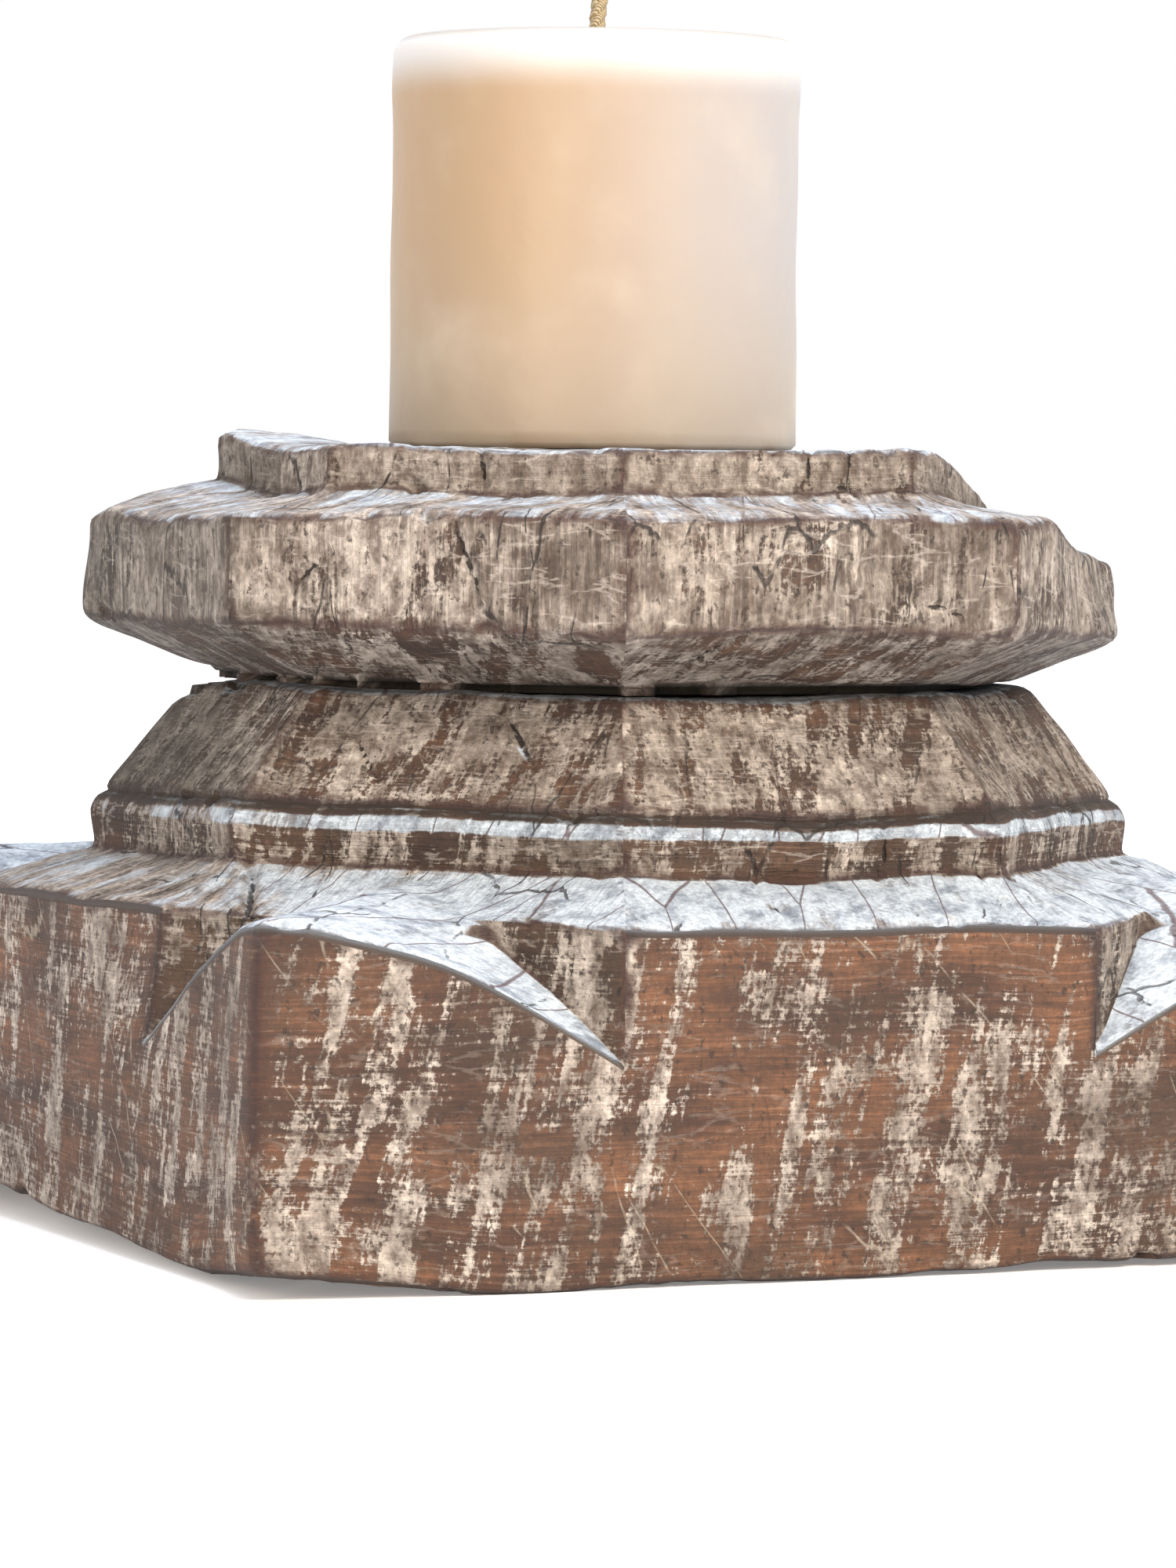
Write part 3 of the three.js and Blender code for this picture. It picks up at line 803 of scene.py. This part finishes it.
# Old hardwood, carved by hand, limewashed and worn through again. The wood is red-brown
# where hands and feet have rubbed it and grey-brown elsewhere. Its raised grain, about 1 mm
# apart, holds a chalky lime coat in leaning brush strokes about 6 mm wide.
def limewashed_timber(name):
    material, tree = new_material(name)
    place = node(tree, "UVMap", uv_map="timber")
    layer = {
        key: node(tree, "Attribute", attribute_name=key).outputs["Fac"]
        for key in (*Finish._fields, "arris", "crack")
    }

    # Grain about 20 mm long, level or upright, and grit of about 1 mm.
    level = marks(tree, place, (20, 0.8), 0.36, 0.64)
    upright = marks(tree, place, (1.3, 18), 0.36, 0.64)
    grain = node(tree, "Mix", {0: layer["upright"], 2: level, 3: upright})
    grooves = node(tree, "Math", {0: 1.0, 1: grain}, operation="SUBTRACT")
    grit = marks(tree, place, (1.1, 1.4), 0.25, 0.75, detail=5)
    # The low spots of the grit, painted darker as shade.
    painted_shade_in_grit = node(tree, "Math", {0: 1.0, 1: grit}, operation="SUBTRACT")

    # Limewash holds in strokes 6 mm wide and 52 mm long, worn in clouds about 16 mm across.
    strokes = marks(tree, place, (6, 52), 0.35, 0.65, turn=0.2, detail=5)
    clouds = marks(tree, place, (17, 15), 0.25, 0.75, detail=6)
    lime = layer["lime"]
    for value, weight in ((clouds, 0.44), (strokes, 0.38), (grain, 0.16), (grit, 0.26)):
        lime = node(tree, "Math", {0: value, 1: weight, 2: lime}, operation="MULTIPLY_ADD")
    # Chalky white, partly painted sky light, clouded and streaked like the limewash.
    chalk = layer["chalk"]
    for value in (clouds, strokes):
        chalk = node(tree, "Math", {0: value, 1: 0.3, 2: chalk}, operation="MULTIPLY_ADD")
    # Each of these runs from 0 at its first value to 1 at its second.
    limed, chalked_and_sky_lit, edge, arris = [
        node(
            tree,
            "MapRange",
            {"Value": value, "From Min": low, "From Max": high},
            interpolation_type="SMOOTHSTEP",
        )
        for value, low, high in (
            (lime, 0.97, 1.14),
            (chalk, 0.66, 1.06),
            (layer["arris"], 0.3, 0.9),
            (layer["arris"], 0.72, 1.0),
        )
    ]
    opened = drying_cracks(tree, place, layer)
    scratches = slanting_scratches(tree, place, layer)
    flakes = seams(tree, place, (11, 2.6), 0.10, bend=0.6)
    flaky = marks(tree, place, (16, 9), 0.50, 0.58)
    off_red = node(tree, "Math", {0: layer["red"], 1: -0.75, 2: 1.0}, operation="MULTIPLY_ADD")

    surface = lay_coats(tree, bare_wood(tree, place, layer, grooves), [
        (lime_coat(tree, place), limed, 0.92),
        # Old stains about 40 mm across.
        ("#3B2C20", marks(tree, place, (48, 34), 0.5, 0.72), 0.6),
        # Dark grooves of upright grain, in patches.
        ("#32241A", grooves, marks(tree, place, (12, 20), 0.34, 0.6), layer["upright"], 0.72),
        # Pits of about 2 mm.
        ("#241811", marks(tree, place, (2.0, 2.6), 0.60, 0.68), 0.75),
        # Flakes about 11 mm long and 3 mm high, in patches, with pale edges.
        ("#C9C0B5", flakes, flaky, off_red, 0.36),
        ("#B1A693", scratches, 0.5),
        # Arrises rubbed back to the wood here and there.
        ("#3F2317", edge, marks(tree, place, (10, 7), 0.36, 0.56), 0.78),
        # Chalky white on upward faces, partly painted sky light: pale and cool where light falls
        # from above.
        (chalk_and_sky_light_coat(tree, place), chalked_and_sky_lit),
        ("#2E1C1E", arris, marks(tree, place, (14, 5), 0.4, 0.56), 0.7),
        # Painted shade in the low spots of the grit.
        ("#251A13", painted_shade_in_grit, 0.42),
        ("#160E0A", opened, 0.9),
        # Dirt and painted shade: dark in the grooves, the recess, the neck between the blocks, the
        # undersides, and on the left of the carved tiers.
        ("#201B0D", layer["dirt"], 0.95),
    ])
    height = 0.0
    for value, weight in (
        (limed, 0.16), (grain, 0.22), (grit, 0.14), (opened, -0.9), (scratches, -0.12)
    ):
        height = node(tree, "Math", {0: value, 1: weight, 2: height}, operation="MULTIPLY_ADD")
    relief = node(tree, "Bump", {"Height": height, "Strength": 0.9, "Distance": MM})
    give_surface(tree, {"Base Color": surface, "Roughness": 0.8, "Normal": relief})
    return material


# Ivory candle wax, poured and hand-smoothed: painted pale near its rim, where light gets through,
# and below it tan on the left and grey on the right, with paler clouds about 26 mm across. Its top
# is painted darker as shade. Its soft skin has shallow dimples about 9 mm across.
def candle_wax():
    material, tree = new_material("ivory_candle_wax")
    place = node(tree, "TexCoord").outputs["Object"]
    height = node(tree, "SeparateXYZ", {0: place}).outputs["Z"]
    sideways = node(tree, "VectorMath", {0: place, 1: tuple(RIGHT)}, operation="DOT_PRODUCT")
    normal = node(tree, "SeparateXYZ", {0: node(tree, "NewGeometry").outputs["Normal"]})
    spots = node(tree, "TexNoise", {"Vector": place, "Scale": 1 / (26 * MM), "Detail": 4.0})
    # Each of these runs from 0 at its first value to 1 at its second.
    right, low_down, spotted, near_the_rim, painted_shade_on_top = [
        node(
            tree,
            "MapRange",
            {"Value": value, "From Min": low, "From Max": high},
            interpolation_type="SMOOTHSTEP",
        )
        for value, low, high in (
            (sideways, -24 * MM, 38 * MM),
            (height, CANDLE_LOW.z + 45 * MM, CANDLE_LOW.z),
            (spots, 0.5, 1.0),
            (height, CANDLE_HIGH.z - 12 * MM, CANDLE_HIGH.z - 2 * MM),
            (normal.outputs["Z"], 0.5, 0.95),
        )
    ]
    body = lay_coats(tree, "#988166", [
        ("#939090", right),
        ("#978B7B", low_down, 0.6),
        ("#B0A595", spotted),
        ("#B9BABA", near_the_rim),
        # Painted shade: the upward faces of the wax darker, against the light from above.
        ("#837F76", painted_shade_on_top, 0.8),
    ])
    dimples = node(tree, "TexNoise", {"Vector": place, "Scale": 1 / (9 * MM), "Detail": 3.0})
    relief = node(tree, "Bump", {"Height": dimples, "Strength": 0.35, "Distance": MM})
    give_surface(tree, {
        "Base Color": body,
        "Roughness": 0.42,
        "IOR": 1.44,
        "Subsurface Weight": 0.35,
        "Subsurface Radius": (0.012, 0.007, 0.004),
        "Subsurface Scale": 1.0,
        "Normal": relief,
    })
    return material


# Braided cotton wick dipped in wax: buff threads about 0.4 mm apart that run at a slant,
# with darker wax between them.
def waxed_cotton():
    material, tree = new_material("waxed_cotton_braid")
    place = node(tree, "TexCoord").outputs["Object"]
    waves = node(
        tree,
        "TexWave",
        {"Vector": place, "Scale": 1 / (1.2 * MM), "Distortion": 1.5, "Detail": 2.0},
        bands_direction="DIAGONAL",
    )
    strands = waves.outputs["Fac"]
    body = lay_coats(tree, "#87724E", [("#B5A88B", strands)])
    relief = node(tree, "Bump", {"Height": strands, "Strength": 0.7, "Distance": 0.3 * MM})
    give_surface(tree, {"Base Color": body, "Roughness": 0.7, "Normal": relief})
    return material


# Blacksmith's iron, forged, blackened and waxed: dark, with hammer marks about 7 mm across
# and brown specks of rust finer than 1 mm.
def blackened_iron():
    material, tree = new_material("waxed_black_iron")
    place = node(tree, "TexCoord").outputs["Object"]
    hammered = node(tree, "TexNoise", {"Vector": place, "Scale": 1 / (7 * MM), "Detail": 2.0})
    specks = node(tree, "TexNoise", {"Vector": place, "Scale": 1 / (0.9 * MM), "Detail": 3.0})
    rusty = node(
        tree,
        "MapRange",
        {"Value": specks, "From Min": 0.58, "From Max": 0.7},
        interpolation_type="SMOOTHSTEP",
    )
    body = lay_coats(tree, "#2A2826", [("#45403C", hammered), ("#6B4029", rusty)])
    bright = node(tree, "Math", {0: rusty, 1: -0.8, 2: 0.95}, operation="MULTIPLY_ADD")
    rough = node(tree, "Math", {0: rusty, 1: 0.35, 2: 0.42}, operation="MULTIPLY_ADD")
    relief = node(tree, "Bump", {"Height": hammered, "Strength": 0.4, "Distance": 0.6 * MM})
    give_surface(
        tree, {"Base Color": body, "Metallic": bright, "Roughness": rough, "Normal": relief}
    )
    return material


# Zinc-plated steel screws, dulled: pale grey crystals of zinc about 1.5 mm across.
def dull_zinc():
    material, tree = new_material("dull_zinc_plated_steel")
    place = node(tree, "TexCoord").outputs["Object"]
    crystals = node(tree, "TexVoronoi", {"Vector": place, "Scale": 1 / (1.5 * MM)})
    shades = node(tree, "SeparateColor", {0: crystals.outputs["Color"]}).outputs
    body = lay_coats(tree, "#8E9093", [("#B9BBBD", shades["Red"])])
    rough = node(tree, "Math", {0: shades["Green"], 1: 0.2, 2: 0.4}, operation="MULTIPLY_ADD")
    give_surface(tree, {"Base Color": body, "Metallic": 1.0, "Roughness": rough})
    return material


# Turned beech dowels, uncoated: pale, with straight grain up the dowel, about 0.2 mm
# across, and the short dark flecks of beech, about 0.2 mm wide and 3 mm long.
def turned_beech():
    material, tree = new_material("turned_beech")
    place = node(tree, "TexCoord").outputs["Object"]
    laid = node(
        tree, "Mapping", {"Vector": place, "Scale": (MM, MM, 18 * MM)}, vector_type="TEXTURE"
    )
    grain = node(tree, "TexNoise", {"Vector": laid, "Scale": 5.0, "Detail": 4.0})
    flecks = node(tree, "TexVoronoi", {"Vector": laid, "Scale": 1.6})
    streaks, dark = [
        node(
            tree,
            "MapRange",
            {"Value": value, "From Min": low, "From Max": high},
            interpolation_type="SMOOTHSTEP",
        )
        for value, low, high in ((grain, 0.3, 0.7), (flecks, 0.16, 0.08))
    ]
    body = lay_coats(tree, "#C79A68", [("#E2C08F", streaks), ("#8C6238", dark, 0.7)])
    relief = node(tree, "Bump", {"Height": grain, "Strength": 0.3, "Distance": 0.1 * MM})
    give_surface(tree, {"Base Color": body, "Roughness": 0.6, "Normal": relief})
    return material


def finish_hardware():
    """Finishes for the solids that keep their own shape."""
    iron, zinc, beech = blackened_iron(), dull_zinc(), turned_beech()
    finishes = {"candle_plate": iron, "spike": iron}
    finishes.update({f"plate_screw_{count}": zinc for count in (1, 2, 3)})
    finishes.update({f"joint_dowel_{count}": beech for count in (1, 2, 3, 4)})
    for key, material in finishes.items():
        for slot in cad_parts[key].material_slots:
            slot.material = material


# ---- Candle ------------------------------------------------------------------------------------


def candle_outline(radius, low, high):
    """Places (out, height) round the wax: a soft rim, a dished top, and its two bores."""
    clearance = 0.3 * MM
    spike_bore = SPIKE_RADIUS + clearance
    wick_bore = WICK_RADIUS + clearance
    chamfer, rim, dish = 1.2 * MM, 3.4 * MM, 1.2 * MM
    outline = [(spike_bore, low), (radius - chamfer, low), (radius, low + chamfer)]
    wall_steps, rim_steps = 34, 8
    for step in range(1, wall_steps + 1):
        height = low + chamfer + (high - low - chamfer - rim) * step / wall_steps
        outline.append((radius, height))
    for step in range(1, rim_steps + 1):
        angle = math.pi / 2 * step / rim_steps
        outline.append((
            radius - rim * (1 - math.cos(angle)),
            high - rim * (1 - math.sin(angle)),
        ))
    for share in (0.8, 0.6, 0.45, 0.3, 0.18):
        outline.append((radius * share, high - dish * (1 - share) ** 0.5))
    return outline + [(wick_bore, high - dish), (wick_bore, SPIKE_HIGH.z)]


def make_candle():
    """The wax: an outline spun round, and then made a little uneven."""
    middle = (CANDLE_LOW + CANDLE_HIGH) / 2
    radius = CANDLE_RADIUS
    low, high = CANDLE_LOW.z, CANDLE_HIGH.z
    outline = candle_outline(radius, low, high)
    shape = bmesh.new()
    corners = [shape.verts.new((out, 0, height)) for out, height in outline]
    edges = [shape.edges.new(pair) for pair in zip(corners, corners[1:] + corners[:1])]
    bmesh.ops.spin(
        shape, geom=corners + edges, cent=(0, 0, 0), axis=(0, 0, 1), angle=2 * math.pi,
        steps=144, use_merge=True,
    )
    bmesh.ops.remove_doubles(shape, verts=shape.verts, dist=1e-6)
    # The wall sways by up to about half a millimetre, and bulges a little 9 mm below the top.
    places = np.array([vertex.co for vertex in shape.verts])
    sway = rough_noise(places, 32 * MM, 2, 91) * 0.35 * MM
    bulge = 0.35 * MM * np.exp(-(((places[:, 2] - high + 9 * MM) / (5 * MM)) ** 2))
    outer = np.linalg.norm(places[:, :2], axis=1) > radius * 0.8
    inset = 0.3 * MM
    for vertex, push, moves in zip(shape.verts, sway + bulge - inset, outer):
        flat = Vector((vertex.co.x, vertex.co.y, 0)).normalized()
        vertex.co += flat * float(push) * bool(moves)
        vertex.co += Vector((middle.x, middle.y, 0))
    bmesh.ops.recalc_face_normals(shape, faces=shape.faces)
    for face in shape.faces:
        face.smooth = True
    mesh = bpy.data.meshes.new("wax_pillar")
    shape.to_mesh(mesh)
    shape.free()
    piece = link("wax_pillar", mesh)
    mesh.materials.append(candle_wax())
    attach(piece, "candle_body")
    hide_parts("candle")


def make_wick():
    """Three cotton strands laid round one another, bending over at the free end."""
    strand_radius = 0.95 * MM
    lay = 0.68 * MM  # from the wick's middle to a strand's
    turn_length = 7 * MM
    lean = 1.2 * MM
    steps = 56
    data = bpy.data.curves.new("braided_wick", "CURVE")
    data.dimensions = "3D"
    data.bevel_depth = strand_radius
    data.bevel_resolution = 3
    data.use_fill_caps = True
    low, high = WICK_LOW.z, WICK_HIGH.z
    middle = PLATE_MIDDLE
    for strand in range(3):
        spline = data.splines.new("POLY")
        spline.points.add(steps)
        for step, point in enumerate(spline.points):
            height = low + (high - low) * step / steps
            angle = 2 * math.pi * (strand / 3 + (height - low) / turn_length)
            over = lean * max(0, (height - CANDLE_HIGH.z) / (high - CANDLE_HIGH.z)) ** 1.5
            point.co = (
                middle.x + over + lay * math.cos(angle),
                middle.y + lay * math.sin(angle),
                height,
                1,
            )
    piece = link("braided_wick", data)
    data.materials.append(waxed_cotton())
    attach(piece, "candle_body")
    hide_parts("wick")


# ---- Room --------------------------------------------------------------------------------------


def soft_light(name, position, target, size, power, colour):
    data = bpy.data.lights.new(name, "AREA")
    data.shape = "DISK"
    data.size = size
    data.energy = power
    data.color = linear(colour)[:3]
    lamp = link(name, data)
    aim = (Vector(target) - Vector(position)).to_track_quat("-Z", "Y")
    lamp.matrix_world = Matrix.Translation(position) @ aim.to_matrix().to_4x4()


def make_room():
    """A white floor in a white room, with a cool panel overhead and two warm ones in front."""
    floor_half = 4
    shape = bmesh.new()
    bmesh.ops.create_grid(shape, x_segments=1, y_segments=1, size=floor_half)
    mesh = bpy.data.meshes.new("floor")
    shape.to_mesh(mesh)
    shape.free()
    floor = link("floor", mesh)
    material, tree = new_material("white_paper_floor")
    give_surface(tree, {
        "Base Color": "#FFFFFF",
        "Roughness": 0.9,
        "Emission Color": "#FFFFFF",
        "Emission Strength": 0.2,
    })
    mesh.materials.append(material)
    world = bpy.data.worlds.new("white_room")
    world.use_nodes = True
    background = world.node_tree.nodes["Background"]
    background.inputs["Color"].default_value = linear("#FFFFFF")
    background.inputs["Strength"].default_value = 1.0
    bpy.context.scene.world = world
    bpy.context.scene.view_settings.view_transform = "Standard"
    soft_light("sky_panel", (0.1, 0.2, 1.3), (0, 0, 0.1), 0.9, 17, "#E4EBFF")
    soft_light("key_panel", (0.35, -1.2, 0.9), (0, 0, 0.08), 0.5, 27, "#FFF1E2")
    soft_light("fill_panel", (-1.1, -0.9, 0.4), (0, 0, 0.05), 0.7, 9, "#FFEBD6")


make_camera()
make_room()
make_lower_block()
make_upper_block()
finish_hardware()
make_candle()
make_wick()
